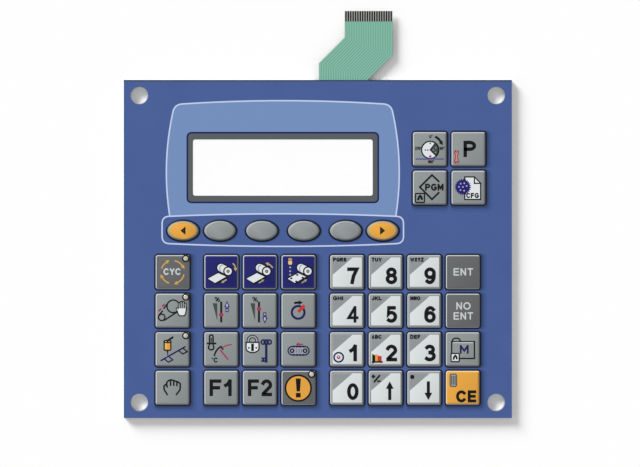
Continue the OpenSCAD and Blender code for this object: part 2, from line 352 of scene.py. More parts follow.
def grid(rows, n, closed=True, tube=False):
    """Faces between neighbouring rows of n points: a closed row joins its ends, and in a tube the last row
    joins the first."""
    i = np.arange(rows if tube else rows - 1)[:, None]
    j = np.arange(n if closed else n - 1)[None, :]
    up, on = (i + 1) % rows, (j + 1) % n
    return np.stack([i * n + j, i * n + on, up * n + on, up * n + j], -1).reshape(-1, 4)


def bands(layers, at, z):
    """Points, faces and inks of layers of ink: the profile (low, high, high, low) carried along each band."""
    points, faces, kinds = [], [], []
    start = 0
    for level, (ink, left, right, closed) in enumerate(layers):
        n = len(left)
        low = np.full((n, 1), z - INK_SUNK - level * INK_STEP)
        high = np.full((n, 1), z + INK_T + level * INK_STEP)
        rows = [(left, low), (left, high), (right, high), (right, low)]
        points += [np.hstack([flat + at, height]) for flat, height in rows]
        quads = grid(4, n, closed, tube=True)
        ends = [[0, n, 2 * n, 3 * n], [n - 1, 4 * n - 1, 3 * n - 1, 2 * n - 1]]
        quads = quads if closed else np.vstack([quads, ends])
        faces.append(quads + start)
        kinds += [ink] * len(quads)
        start += 4 * n
    return np.vstack(points), np.vstack(faces).tolist(), kinds


def in_scene(name, data):
    """A new object with the given data, in the scene."""
    made = bpy.data.objects.new(name, data)
    bpy.context.scene.collection.objects.link(made)
    return made


def piece(name, points, faces, kinds, materials, smooth=None):
    """A new piece from points in millimetres, its faces and the name of each face's material.
    Coinciding points are merged, faces turned outwards, and faces smoothed up to an angle in degrees."""
    mesh = bpy.data.meshes.new(name)
    mesh.from_pydata((np.asarray(points) * MM).tolist(), [], faces)
    used = sorted(set(kinds))
    for kind in used:
        mesh.materials.append(materials[kind])
    mesh.polygons.foreach_set("material_index", [used.index(kind) for kind in kinds])
    shape = bmesh.new()
    shape.from_mesh(mesh)
    bmesh.ops.remove_doubles(shape, verts=shape.verts, dist=MERGE_M)
    bmesh.ops.dissolve_degenerate(shape, edges=shape.edges, dist=FLAT_M)
    loose = [edge for edge in shape.edges if not edge.link_faces]
    bmesh.ops.delete(shape, geom=loose, context="EDGES")
    bmesh.ops.recalc_face_normals(shape, faces=shape.faces)
    shape.to_mesh(mesh)
    shape.free()
    if smooth:
        mesh.shade_smooth()
        mesh.set_sharp_from_angle(angle=np.radians(smooth))
    made = in_scene(name, mesh)
    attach(made, "root")
    return made


def printed(name, layers, at=(0, 0), z=film_top):
    """A piece of print: layers of ink on a surface at height z, round the point at."""
    return piece(name, *bands(layers, np.array(at), z), inks)


# %% [markdown]
# The display field and the soft-key field have gently bowed sides and round corners. Each side is a
# parabola through its two corners, with a rise in its middle, and each corner is a second parabola between
# two sides that are cut short. With no rise the same rule gives the plain round-cornered window.

# %% Bowed outlines
SIDE_POINTS = 12
CORNER_POINTS = 8
corner_signs = np.array([(-1, -1), (1, -1), (1, 1), (-1, 1)])


def bowed(corners, rises, cut, steps=SIDE_POINTS):
    """Outline through corners: side i is a + t (b - a) plus 4 rise t (1 - t) outwards, with t stopping cut
    millimetres short of both ends. A quadratic curve joins the sides, with its control point where the two
    sides' ends would meet."""
    p = np.array(corners, float)
    sides = []
    for a, b, rise in zip(p, np.roll(p, -1, 0), rises):
        trim = cut / np.linalg.norm(b - a)
        t = np.linspace(trim, 1 - trim, steps)[:, None]
        outwards = -left_of(unit((b - a)[None]))
        sides.append(a + t * (b - a) + 4 * rise * t * (1 - t) * outwards)
    t = np.linspace(0, 1, CORNER_POINTS)[1:-1, None]
    run = []
    for side, following in zip(sides, sides[1:] + sides[:1]):
        first, last = side[-1], following[0]
        ahead, back = side[-1] - side[-2], following[0] - following[1]
        reach = np.linalg.solve(np.column_stack([ahead, -back]), last - first)
        control = first + reach[0] * ahead
        run += [side, (1 - t) ** 2 * first + 2 * t * (1 - t) * control + t ** 2 * last]
    return np.vstack(run)


def round_box(w, h, cut, steps=SIDE_POINTS):
    """A plain rectangle with round corners, counter-clockwise from its lower left."""
    return bowed(corner_signs * (w / 2, h / 2), (0, 0, 0, 0), cut, steps)


CLEAR_W, CLEAR_H, CLEAR_CUT = 75.5, 23.6, 1.1
FRAME_W, FRAME_H, FRAME_CUT = 80.2, 29.3, 2.0
FIELD_CORNERS = [(-47.0, -23.2), (47.0, -23.2), (45.4, 26.5), (-45.4, 26.5)]
FIELD_RISES, FIELD_CUT = (0, 2.65, 1.6, 2.65), 3.2
SOFT_CORNERS = [(-50.7, -31.8), (50.7, -31.8), (50.7, -20.6), (-50.7, -20.6)]
SOFT_RISES, SOFT_CUT = (1.3, 0, 1.2, 0), 3.0
clear_outline = round_box(CLEAR_W, CLEAR_H, CLEAR_CUT)
clear_cut = round_box(CLEAR_W, CLEAR_H, CLEAR_CUT, steps=2)
window_frame = round_box(FRAME_W, FRAME_H, FRAME_CUT)
field_outline = bowed(FIELD_CORNERS, FIELD_RISES, FIELD_CUT)
soft_outline = bowed(SOFT_CORNERS, SOFT_RISES, SOFT_CUT)
print("display field", np.ptp(field_outline, 0).round(1), "soft field", np.ptp(soft_outline, 0).round(1))

# %% [markdown]
# The film itself is one die-cut sheet with four round fixing holes, a window, and an opening where each key
# is pressed up. A flat curve with one loop for each edge fills between its loops by itself, and its extrusion
# gives the sheet its thickness. Its satin blue changes slowly across the panel, as such a print does.

# %% Cut the film
KEY_FOOT = 7.2
OVAL_FOOT = np.array([6.65, 4.1])
HOLE_R = 3.7
HOLE_INSET = 6.5
FOLD_IN = 0.3
FOLD_R = 1.0
QUARTER_POINTS = 7
TONE_SCALE = 60


def square_loop(half, corner):
    """A square outline with round corners: quarter circles of radius corner round four inner points."""
    quarter = np.linspace(0, 90, QUARTER_POINTS)
    turn = np.repeat(np.arange(4), QUARTER_POINTS) * 90 + np.tile(quarter, 4)
    centre = np.roll(corner_signs, 2, 0).repeat(QUARTER_POINTS, 0) * (half - corner)
    return centre + corner * turned(turn)


def oval_loop(inset, drawn=1.0):
    """An oval key's outline, drawn in by inset on its short axis and by drawn times that on its long one."""
    return arc(0, 0, OVAL_FOOT[0] - inset * drawn, ry=OVAL_FOOT[1] - inset)[:-1]


def cut_sheet(name, loops, low, high, material):
    """A flat sheet with the given loops as its outer and inner edges, between two heights."""
    flat = bpy.data.curves.new(name, "CURVE")
    flat.dimensions = "2D"
    flat.fill_mode = "BOTH"
    flat.extrude = (high - low) / 2 * MM
    for loop in loops:
        edge = flat.splines.new("POLY")
        edge.points.add(len(loop) - 1)
        edge.points.foreach_set("co", np.column_stack([loop * MM, loop * 0 + (0, 1)]).ravel())
        edge.use_cyclic_u = True
    pattern = bpy.data.objects.new(name + "_pattern", flat)
    mesh = bpy.data.meshes.new_from_object(pattern)
    bpy.data.objects.remove(pattern)
    points = np.array([v.co for v in mesh.vertices]) / MM + (0, 0, (low + high) / 2)
    faces = [list(face.vertices) for face in mesh.polygons]
    return piece(name, points, faces, [name] * len(faces), {name: material})


film_blue = satin_grain(surface("film_blue"))
two_tone(film_blue, (72, 94, 149), (75, 97, 153), wander(film_blue, TONE_SCALE))
panel_loop = corner_signs * panel_half
hole_loops = [arc(*at, HOLE_R)[:-1] for at in corner_signs * (panel_half - HOLE_INSET)]
key_loops = [key_at[k] + square_loop(KEY_FOOT - FOLD_IN, FOLD_R) for k in square_keys]
oval_loops = [key_at[k] + oval_loop(FOLD_IN) for k in oval_keys]
film_loops = [panel_loop, *hole_loops, display_at + clear_cut, *key_loops, *oval_loops]
film = cut_sheet("overlay_film", film_loops, film_under, film_top, film_blue)
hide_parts("graphic_overlay")
print("film:", len(film_loops), "edges,", len(film.data.polygons), "faces")

# %% [markdown]
# Left unprinted, the same film is the display's window. Its matt front scatters most of the light and lets
# the rest pass straight through. A constant alpha does both. Light reaches what lies behind it, so the window
# throws no shadow of its own.

# %% Set in the clear window
CLEAR_ALPHA = 0.93
CLEAR_SCALE = 300
CLEAR_FIT = 0.9995
clear_film = surface("clear_film", Base_Color=base((255, 255, 255)), Alpha=CLEAR_ALPHA)
drive(clear_film, "Roughness", wander(clear_film, CLEAR_SCALE, 0.3, 0.4))
window = cut_sheet("display_window", [display_at + clear_cut * CLEAR_FIT], film_under, film_top, clear_film)
window.visible_shadow = False
print("window:", (np.array(window.dimensions) / MM).round(2), "mm")

# %% [markdown]
# The printed fields come next, in the order of the screens: the light blue round the window, the grey window
# frame with its navy edge, the pale lines, and the soft-key field in the panel's own blue. A thin dark line
# runs along the edge that the tail leaves.

# %% Print the fields
NAVY_W = 0.6
PALE_W = 0.5
EDGE_W = 0.45
EDGE_BACK = 0.02
SOFT_LEVEL = 5
display_field = (
    [("light_blue", field_outline, window_frame, True)]
    + [("frame_grey", window_frame, clear_outline, True)]
    + line("navy_line", NAVY_W, window_frame, window_frame[0])
    + line("pale_line", PALE_W, field_outline, field_outline[0])
)
soft_field = edged("panel_blue", "pale_line", PALE_W, soft_outline)
edge_x, edge_y = panel_half - EDGE_BACK - (0, (EDGE_W + INK_GAIN) / 2)
edge_line = line("edge_dark", EDGE_W, (-edge_x, edge_y), (edge_x, edge_y))
printed("display_field", display_field, display_at)
printed("soft_key_field", soft_field, display_at, film_top + SOFT_LEVEL * INK_STEP)
printed("edge_line", edge_line)
print("fields:", len(display_field) + len(soft_field) + len(edge_line), "layers")

# %% [markdown]
# Each key gets a painted shadow to its right and below: a soft shade of ink standing in for the shadow that
# light from the upper left would cast. It is a fade of five blues, each a ring that reaches less far than the
# one under it. Where the next key is near, the shade stops about halfway: the room to the nearest key on each
# side comes from all the places at once.

# %% Paint a soft shadow beside the keys
OUTLINE_W = 0.6
OVAL_OUTLINE_W = 0.65
FOOT_R = 1.05
SHADE_REACH = (2.3, 1.7, 1.2, 0.75, 0.4)
OVAL_SHADE = 0.25
OVAL_LEVEL = 7
SHADE_TUCK = 0.3
GAP_SHARE = 0.55
FREE = 9.0
places = np.array([key_at[k] for k in all_keys])
square_half = np.full(2, KEY_FOOT + OUTLINE_W)
halves = np.array([square_half] * len(square_keys) + [OVAL_FOOT + OVAL_OUTLINE_W] * len(oval_keys))
apart = places[None] - places[:, None]
room = np.abs(apart) - halves[None] - halves[:, None]
beside = room[..., ::-1] < 0
room_right = np.where(beside[..., 0] & (apart[..., 0] > 0), room[..., 0], FREE).min(1)
room_down = np.where(beside[..., 1] & (apart[..., 1] < 0), room[..., 1], FREE).min(1)


# Painted shadow: fading rings of darker blue in place of the shade a key would cast.
def shade(oval, right, down):
    """Rings from just inside a key's outline to its shifted copy, wider by the reach and moved half of it."""
    if oval:
        outer = oval_loop(-OVAL_OUTLINE_W)
        inner = oval_loop(SHADE_TUCK - OVAL_OUTLINE_W)
    else:
        outer = square_loop(KEY_FOOT + OUTLINE_W, FOOT_R + OUTLINE_W)
        inner = square_loop(KEY_FOOT + OUTLINE_W - SHADE_TUCK, FOOT_R)
    share = np.minimum(OVAL_SHADE if oval else 1, np.multiply((right, down), GAP_SHARE) / SHADE_REACH[0])
    layers = []
    for tone, reach in enumerate(SHADE_REACH, 1):
        grow = reach * share / 2
        spread = outer * (1 + grow / np.abs(outer).max(0)) + grow * (1, -1)
        layers.append((f"shade_{tone}", spread, inner, True))
    return layers


for key, right, down in zip(all_keys, room_right, room_down):
    oval = key in oval_keys
    level = OVAL_LEVEL if oval else 0
    printed("shade_" + key, shade(oval, right, down), key_at[key], film_top + level * INK_STEP)
print("shades:", len(all_keys), "of", len(SHADE_REACH), "tones")

# %% [markdown]
# A pressed-up key is a profile carried round its outline. The profile starts flat on the film, where a dark
# outline is printed, climbs the bevel with a small curve at its foot and its shoulder, and ends on the flat
# face. Each row of the grid is the same outline, drawn in and lifted. The dark outline leans a little to the
# upper left. The narrow rim carries painted light: a painted highlight at the left and the top, painted shade
# at the right and a duller painted tone below. The bevel is painted in its own tone on each side as well,
# set against the stage's light so that it stays near the face's tone in the light and in its shade. A
# Solidify modifier turns the surface into film.

# %% Press up the keys
BEVEL_W = 1.05
OVAL_BEVEL_W = 0.7
FACE_R = 0.3
LIGHT_WAY = np.array([-1, 1])
OUTLINE_LEAN = 0.07
OUTLINE_LEVEL = 16
OUTLINE_LIFT = INK_T + OUTLINE_LEVEL * INK_STEP
KEY_SMOOTH = 25
PROFILE = (
    (-OUTLINE_W, 0.0, "outline"),
    (-0.04, 0.0, "outline"),
    (0.0, 0.015, "foot"),
    (0.10, 0.095, "rim"),
    (0.47, 0.44, "bevel"),
    (0.90, 0.86, "bevel"),
    (0.99, 0.96, "bevel"),
    (BEVEL_W, 1.0, "face"),
)
insets = np.array([step[0] for step in PROFILE])
lifts = film_top + OUTLINE_LIFT + (EMBOSS - OUTLINE_LIFT) * np.array([step[1] for step in PROFILE])
DIGITS = "0123456789"
FACES = {
    "key_dark": ["cycle", "alarm", "enter", "no_enter"],
    "key_navy": ["film_feed", "film_back", "film_mark"],
    "key_white": ["digit_" + digit for digit in DIGITS] + ["arrow_up", "arrow_down"],
    "orange": ["clear", "scroll_left", "scroll_right"],
}
face_ink = dict.fromkeys(all_keys, "key_grey")
face_ink.update({key: ink for ink, keys in FACES.items() for key in keys})
# Painted light for each face ink: the rim's and the bevel's inks on the lit side, the right and below.
SQUARE_EDGES = {
    "key_grey": ("rim_light rim_right rim_mid", "lit_grey corner_grey mid_grey"),
    "key_dark": ("rim_light rim_mid rim_low", "lit_dark side_dark side_dark"),
    "key_navy": ("rim_light rim_low rim_low", "key_navy side_navy side_navy"),
    "key_white": ("rim_light rim_right rim_low", "lit_grey key_grey low_grey"),
    "orange": ("rim_cream rim_right rim_low", "lit_orange lit_orange low_orange"),
}
# Painted light on the oval keys' rims and bevels, in the same order.
OVAL_EDGES = {
    "key_grey": ("mid_grey rim_mid rim_mid", "key_grey key_grey key_grey"),
    "orange": ("key_grey rim_mid rim_mid", "sand sand sand"),
}


def pressed_key(key, rows, edges):
    """A key from its outlines, one for each step of the profile: the grid of their points, closed round the
    key, and one flat face on the last row. The edges are the inks of the rim and of the bevel, each for the
    lit side, the right and below."""
    n = len(rows[0])
    points = np.column_stack([np.vstack(rows) + key_at[key], np.repeat(lifts, n)])
    stretch = rows[1] + np.roll(rows[1], -1, 0)
    # side picks the painted highlight for the lit upper left and the painted shade for the right and below.
    side = np.where(stretch @ LIGHT_WAY > 0, 0, np.where(stretch.sum(1) > 0, 1, 2))
    rim, bevel = [row.split() for row in edges[face_ink[key]]]
    outline = ["outline"] * 3
    band = {"outline": outline, "foot": outline[:2] + rim[2:], "rim": rim, "bevel": bevel}
    kinds = [band[step[2]][s] for step in PROFILE[:-1] for s in side] + [face_ink[key]]
    faces = grid(len(rows), n).tolist() + [list(range(len(points) - n, len(points)))]
    made = piece("key_" + key, points, faces, kinds, inks, KEY_SMOOTH)
    wall = made.modifiers.new("film", "SOLIDIFY")
    wall.thickness = FILM_T * MM
    wall.offset = -1.0
    return made


square_rows = [square_loop(KEY_FOOT - d, max(FOOT_R - d, FACE_R)) for d in insets]
leaning = square_loop(KEY_FOOT + OUTLINE_W - OUTLINE_LEAN, FOOT_R + OUTLINE_W)
square_rows[0] = leaning + OUTLINE_LEAN * LIGHT_WAY
narrow = insets * np.where(insets > 0, OVAL_BEVEL_W / BEVEL_W, OVAL_OUTLINE_W / OUTLINE_W)
drawn = np.where(insets > 0, OVAL_FOOT[0] / OVAL_FOOT[1], 1)
oval_rows = [oval_loop(d, s) for d, s in zip(narrow, drawn)]
for key in square_keys:
    pressed_key(key, square_rows, SQUARE_EDGES)
for key in oval_keys:
    pressed_key(key, oval_rows, OVAL_EDGES)
print("keys:", len(all_keys))

# %% [markdown]
# Each lamp lens is a drop of glossy, slightly cloudy resin with a dark printed ring round it. Both are one
# profile turned about an axis: up the ring's wall, over its edge, and over the shallow dome to its pole.

# %% Set the lamp lenses
LENS_R = 0.98
DOME_H = 0.18
DOME_POINTS = 7
RING_R = 1.55
RING_ROUND = 0.08
RING_H = 0.05
RING_DIP = 0.02
LENS_SMOOTH = 35
CLOUD_SCALE = 1500
pearl = surface("lens_pearl", 0.5, Roughness=0.15, Coat_Weight=0.5)
two_tone(pearl, (180, 175, 154), (210, 205, 186), wander(pearl, CLOUD_SCALE))
ring_steps = [
    (RING_R, film_top),
    (RING_R, face_top),
    (RING_R - RING_ROUND, face_top + RING_H),
    (LENS_R, face_top + RING_H - RING_DIP),
]
dome_steps = (0, face_top) + turned(np.linspace(0, 90, DOME_POINTS)) * (LENS_R, DOME_H)
lens_steps = np.vstack([ring_steps, dome_steps])
circle = arc(0, 0, 1.0)[:-1]
turns = len(circle)
lens_faces = grid(len(lens_steps), turns).tolist() + [list(range(turns))[::-1]]
lens_kinds = ["ring"] * (len(ring_steps) - 1) * turns + ["pearl"] * len(dome_steps) * turns + ["ring"]
lens_materials = {"ring": inks["black"], "pearl": pearl}
for key in lamp_keys:
    rows = [np.column_stack([lamp_at[key] + r * circle, np.full(turns, z)]) for r, z in lens_steps]
    lens = piece("lens_" + key, np.vstack(rows), lens_faces, lens_kinds, lens_materials, LENS_SMOOTH)
print("lenses:", len(lamp_keys))

# %% [markdown]
# The legends use a bold sans letter. A font file would be read from disk, so each letter is drawn as strokes
# of one width instead, in a box from 0 to 1. The box is stretched to the letter's size less the stroke, and
# each stroke's free end grows by half a stroke, so a letter fills its height exactly.

# %% Draw letters as strokes
LEFT = ((0, 0), (0, 1))
RIGHT = ((1, 0), (1, 1))
WHOLE = (arc(0.5, 0.5, 0.5),)
P_BOWL = (*LEFT, (0.5, 1), arc(0.5, 0.74, 0.5, 90, -90, 0.26), (0, 0.48))
LETTERS = {
    "0": [WHOLE],
    "1": [RIGHT, ((0.1, 0.68), (0.55, 0.78), (0.95, 1))],
    "2": [(arc(0.5, 0.71, 0.5, 155, -25, 0.29), (0.08, 0.06), (0.08, 0), (1, 0))],
    "3": [(arc(0.46, 0.77, 0.44, 142, -80, 0.23),), (arc(0.46, 0.265, 0.54, 85, -136, 0.265),)],
    "4": [((0.75, 0), (0.75, 1)), ((0.72, 0.98), (0.03, 0.26), (1, 0.26))],
    "5": [((0.85, 1), (0.18, 1), (0.08, 0.48), arc(0.47, 0.32, 0.53, 118, -128, 0.32))],
    "6": [(arc(0.5, 0.31, 0.5, ry=0.31),), (arc(0.54, 0.52, 0.54, 46, 180, 0.48), (0, 0.33))],
    "7": [((0, 1), (1, 1), (0.6, 0.5), (0.42, 0))],
    "8": [(arc(0.5, 0.765, 0.44, ry=0.235),), (arc(0.5, 0.265, 0.5, ry=0.265),)],
    "9": [(arc(0.5, 0.69, 0.5, ry=0.31),), (arc(0.46, 0.48, 0.54, -126, 0, 0.48), (1, 0.67))],
    "A": [((0.05, 0), (0.5, 1), (0.95, 0)), ((0.2, 0.3), (0.8, 0.3))],
    "B": [P_BOWL, (arc(0.5, 0.24, 0.5, 90, -90, 0.24), (0, 0))],
    "C": [(arc(0.52, 0.5, 0.52, 44, 316, 0.5),)],
    "D": [(*LEFT, (0.45, 1), arc(0.45, 0.5, 0.55, 90, -90), (0, 0))],
    "E": [((1, 1), (0, 1), (0, 0), (1, 0)), ((0, 0.51), (0.9, 0.51))],
    "F": [((1, 1), (0, 1), (0, 0)), ((0, 0.5), (0.85, 0.5))],
    "G": [(arc(0.52, 0.5, 0.52, 52, 330, 0.5), (0.98, 0.44), (0.62, 0.44))],
    "H": [LEFT, RIGHT, ((0, 0.5), (1, 0.5))],
    "I": [((0.5, 0), (0.5, 1))],
    "J": [((1, 1), (1, 0.3), arc(0.5, 0.3, 0.5, 0, -160, 0.3))],
    "K": [LEFT, ((1, 1), (0.1, 0.4)), ((0.3, 0.55), (1, 0))],
    "L": [((0, 1), (0, 0), (1, 0))],
    "M": [LEFT, RIGHT, ((0.1, 0.86), (0.5, 0.28), (0.9, 0.86))],
    "N": [LEFT, RIGHT, ((0.12, 0.9), (0.88, 0.1))],
    "O": [WHOLE],
    "P": [P_BOWL],
    "Q": [WHOLE, ((0.6, 0.3), (0.95, 0.05))],
    "R": [P_BOWL, ((0.5, 0.48), (0.95, 0))],
    "S": [(arc(0.5, 0.755, 0.47, 30, 270, 0.245), arc(0.5, 0.255, 0.5, 90, -150, 0.255))],
    "T": [((0, 1), (1, 1)), ((0.5, 1), (0.5, 0))],
    "U": [((0, 1), (0, 0.35), arc(0.5, 0.35, 0.5, 180, 360, 0.35), (1, 1))],
    "V": [((0.05, 1), (0.5, 0), (0.95, 1))],
    "W": [((0, 1), (0.25, 0), (0.5, 0.85), (0.75, 0), (1, 1))],
    "X": [((0.05, 0), (0.95, 1)), ((0.05, 1), (0.95, 0))],
    "Y": [((0.05, 1), (0.5, 0.45), (0.95, 1)), ((0.5, 0.45), (0.5, 0))],
    "Z": [((0, 1), (1, 1), (0, 0), (1, 0))],
}
LETTER_W = {
    "1": 0.47, "I": 0.24, "F": 0.69, "L": 0.7, "J": 0.64, "E": 0.76, "T": 0.78,
    "M": 0.96, "W": 1.22, "C": 0.92, "G": 0.96, "O": 0.98, "Q": 0.98, "N": 0.76,
}
DIGIT_W = 0.69
OTHER_W = 0.84
LETTER_GAP = 0.13
WIDE_GAP = 0.21


def words(ink, text, x, y, height, width, weight, gap=LETTER_GAP):
    """A line of letters round (x, y): each letter's box is its share of the width, and a stroke's point u, v
    lies at weight / 2 + u (w - weight) across and weight / 2 + v (height - weight) up."""
    shares = np.array([LETTER_W.get(c, DIGIT_W if c.isdigit() else OTHER_W) for c in text])
    scale = width / (shares.sum() + gap * (len(text) - 1))
    starts = x - width / 2 + scale * np.concatenate([[0], np.cumsum(shares + gap)[:-1]])
    layers = []
    for letter, left, w in zip(text, starts, shares * scale):
        size = np.array([w - weight, height - weight])
        corner = np.array([left + weight / 2, y - height / 2 + weight / 2])
        for runs in LETTERS[letter]:
            layers += line(ink, weight, corner + path(*runs) * size, cap=weight / 2)
    return layers


print("letters:", "".join(LETTERS))

# %% [markdown]
# The key legends are common signs: numbers, short words, arrows, and simple pictures of what a key does, such
# as a film roll, a belt, a lock or a thermometer. Each is a few bands in millimetres from its key's middle.

# %% Number keys
FACE_HALF = KEY_FOOT - BEVEL_W
CORNER_W, CORNER_H, CORNER_BACK = 8.3, 7.2, 0.05
DIGIT_AT = (2.35, -1.55)
DIGIT_H = 6.95
DIGIT_SPAN = dict.fromkeys(DIGITS, 4.75) | {"1": 3.4}
DIGIT_WEIGHT = dict.fromkeys(DIGITS, 1.42) | {"4": 1.1}
DIGIT_LETTERS = dict(zip("23456789", "ABC DEF GHI JKL MNO PQRS TUV WXYZ".split()))
LETTERS_AT = (-5.95, 5.25)
LETTERS_H = 1.65
LETTERS_WEIGHT = 0.4
LETTER_SPAN = 1.4
ARROW_X, ARROW_W = 1.65, 1.2
HEAD_L, HEAD_W = 3.1, 3.26
left, top = CORNER_BACK - FACE_HALF, FACE_HALF - CORNER_BACK
corner_field = patch("corner_grey", (left, top), (left, top - CORNER_H), (left + CORNER_W, top))


def number(digit):
    """A large number, with its small letters in the grey corner."""
    big = words("black", digit, *DIGIT_AT, DIGIT_H, DIGIT_SPAN[digit], DIGIT_WEIGHT[digit])
    layers = corner_field + big
    if digit in DIGIT_LETTERS:
        letters = DIGIT_LETTERS[digit]
        span = LETTER_SPAN * len(letters)
        x, y = LETTERS_AT
        layers += words("black", letters, x + span / 2, y, LETTERS_H, span, LETTERS_WEIGHT)
    return layers


def step_arrow(y0, y1):
    """A straight black arrow from y0 to y1 beside the key's middle."""
    end = y1 - np.sign(y1 - y0) * HEAD_L
    head = (ARROW_X - HEAD_W / 2, end), (ARROW_X, y1), (ARROW_X + HEAD_W / 2, end)
    return line("black", ARROW_W, (ARROW_X, y0), (ARROW_X, end)) + patch("black", head)


legends = {"digit_" + digit: number(digit) for digit in DIGITS}
legends["digit_1"] += (
    disc("key_white", -3.6, -3.35, 1.9)
    + ring("navy_line", 0.58, -3.6, -3.35, 1.95)
    + disc("rose", -3.6, -3.35, 0.75)
    + disc("key_white", -3.6, -3.2, 0.32)
)
blocks = (("black", -5.0, 1.1, 2.7), ("orange", -3.8, 1.3, 2.9), ("red", -2.6, 1.6, 2.3))
legends["digit_2"] += (
    each(lambda ink, x, w, h: patch(ink, (corner_signs + (0, 1)) * (w / 2, h / 2) + (x, -5.1)), blocks)
    + line("black", 0.45, (-5.45, -5.6), (-5.45, -2.0))
    + line("black", 0.55, (-5.9, -5.3), (-1.3, -5.3))
    + each(lambda x, y: disc("black", x, y, 0.4), [(-5.4, -5.6), (-2.0, -5.3)])
)
legends["arrow_up"] = (
    corner_field
    + line("black", 0.6, (-6.05, 4.8), (-4.4, 4.8))
    + line("black", 0.6, (-5.25, 5.6), (-5.25, 4.0))
    + line("black", 0.68, (-5.0, 2.35), (-2.45, 5.4))
    + line("black", 0.58, (-3.65, 2.8), (-2.15, 2.8))
    + step_arrow(-5.1, 2.75)
)
legends["arrow_down"] = corner_field + disc("black", -5.1, 4.6, 0.9) + step_arrow(2.75, -5.15)
print("number keys:", len(legends))

# %% Word keys
WORD_H = 3.05
WORD_WEIGHT = 0.46


def pale_word(text, x, y, width):
    """A thin pale word on a dark key."""
    return words("word_white", text, x, y, WORD_H, width, WORD_WEIGHT, WIDE_GAP)


legends["enter"] = pale_word("ENT", 0.15, 0.1, 8.15)
legends["no_enter"] = pale_word("NO", 0.2, 2.0, 5.95) + pale_word("ENT", 0.15, -2.2, 8.15)
legends["f1"] = words("black", "F1", -0.3, 0.05, 6.95, 9.2, 1.35)
legends["f2"] = words("black", "F2", 0.05, 0.05, 6.95, 10.1, 1.35)
legends["clear"] = (
    edged("mid_grey", "wedge_grey", 0.35, square_loop(1.35, 0.5) * (1, 1.9) + (-4.05, 3.2))
    + each(lambda x: line("wedge_grey", 0.3, (x, 1.3), (x, 5.1)), (-4.75, -4.05, -3.35))
    + words("black", "CE", 1.35, -3.55, 4.95, 8.45, 1.12)
)
turn_ends = ((162, 122), (80, 33), (-12, -66), (-107, -152))
legends["cycle"] = (
    words("word_white", "CYC", -0.2, 0.2, 2.75, 7.2, 0.5)
    + each(lambda start, end: arrow("gold", 0.5, 1.6, arc(0, 0, 4.85, start, end)), turn_ends)
)
legends["alarm"] = (
    disc("black", -0.1, -0.1, 5.75)
    + disc("orange", -0.1, -0.1, 5.0)
    + patch("black", (-1.2, 3.95), (1.0, 3.95), (0.6, -1.5), (-0.8, -1.5))
    + patch("black", (-1.1, -2.1), (0.9, -2.1), (0.9, -4.0), (-1.1, -4.0))
)
print("legends so far:", len(legends))

# %% Film keys
ROLL_AT = np.array([2.85, 0.35])
ROLL_WAY = np.array([-2.95, 1.5])
ROLL_R = 1.8
SHEET = np.array([(-6.0, -2.75), (-1.3, -0.2), (2.4, -1.9), (-2.65, -4.75)])
DIAMOND = np.array([(-0.6, 0), (0, 0.45), (0.6, 0), (0, -0.45)])


def film_roll(dx=0.0):
    """A roll of film seen from its end, with a sheet running off it to the lower left."""
    sheet = SHEET + (dx, 0)
    near = ROLL_AT + (dx, 0)
    far = near + ROLL_WAY
    body = path(arc(*far, ROLL_R, 60, 240), arc(*near, ROLL_R, 240, 420))
    return (
        line("black", 0.32, sheet[3] + (0.2, -0.22), sheet[2] + (0.45, -0.2))
        + edged("white", "black", 0.3, sheet)
        + edged("white", "black", 0.35, body)
        + line("mid_grey", 0.35, arc(*(far + (0.9, -0.4)), ROLL_R - 0.25, 100, 225))
        + edged("white", "black", 0.45, arc(*near, ROLL_R))
        + disc("wedge_grey", *near, 0.7)
        + disc("mid_grey", *near, 0.32)
    )


legends["film_feed"] = (
    film_roll()
    + arrow("tan", 0.42, 1.35, arc(3.5, 1.6, 2.4, 60, 2))
    + arrow("tan", 0.45, 1.1, (2.2, -3.1), (0.9, -3.95))
)
legends["film_back"] = (
    film_roll()
    + arrow("tan", 0.45, 1.4, arc(2.6, 0.5, 3.0, 24, 71))
    + arrow("sand", 0.4, 1.1, (-0.5, -4.6), (0.9, -3.7))
)
marks = ((-0.55, -1.15), (1.75, -2.3), (-3.05, -2.6), (-0.95, -3.9))
legends["film_mark"] = (
    film_roll(1.1)
    + arrow("sand", 0.4, 1.1, (1.3, -4.6), (2.7, -3.65))
    + each(lambda x, y: patch("black", DIAMOND + (x, y)), marks)
    + each(lambda y: disc("mid_grey", -3.5, y, 0.4), (2.0, 0.4, -1.1))
    + patch("cream", square_loop(0.8, 0.4) * (1, 1.2) + (-3.5, 4.1))
    + patch("gold", square_loop(0.72, 0.15) * (1, 0.6) + (-3.5, 5.4))
    + line("wedge_grey", 0.15, (-4.25, 4.9), (-2.75, 4.9))
)
print("legends so far:", len(legends))

# %% Machine keys
def open_hand():
    """A white hand with a black edge: four fingers, a thumb and the palm, each drawn black and then white."""
    fingers = ((2.76, 3.1), (3.6, 3.6), (4.45, 3.6), (5.28, 3.0))
    palm = ((2.6, 0.9), (5.45, 0.9), (5.2, -0.9), (4.75, -1.8), (3.0, -1.8), (2.4, -0.7))
    layers = []
    for ink, grow in (("black", 0.95), ("white", 0.0)):
        layers += each(lambda x, y: line(ink, 0.12 + grow, (x, y + grow / 2), (x, 0.6)), fingers)
        layers += line(ink, 0.3 + grow, (1.85, 0.9 + grow / 2), (2.9, -1.0))
        layers += edged(ink, ink, 0.05 + grow, palm)
    return layers


def speed_slider(x, dot_y):
    """A wedge with a percent sign, and a slide bar with its red dot."""
    return (
        ring("black", 0.25, x - 2.2, 5.3, 0.42)
        + ring("black", 0.25, x - 1.0, 4.2, 0.42)
        + line("black", 0.3, (x - 2.3, 3.9), (x - 0.9, 5.6))
        + patch("wedge_grey", (x - 3.6, 3.15), (x - 1.65, 3.15), (x - 1.65, -4.2))
        + line("black", 0.75, (x, 3.8), (x, -4.9))
        + disc("rose", x, dot_y, 1.0, 0.78)
    )


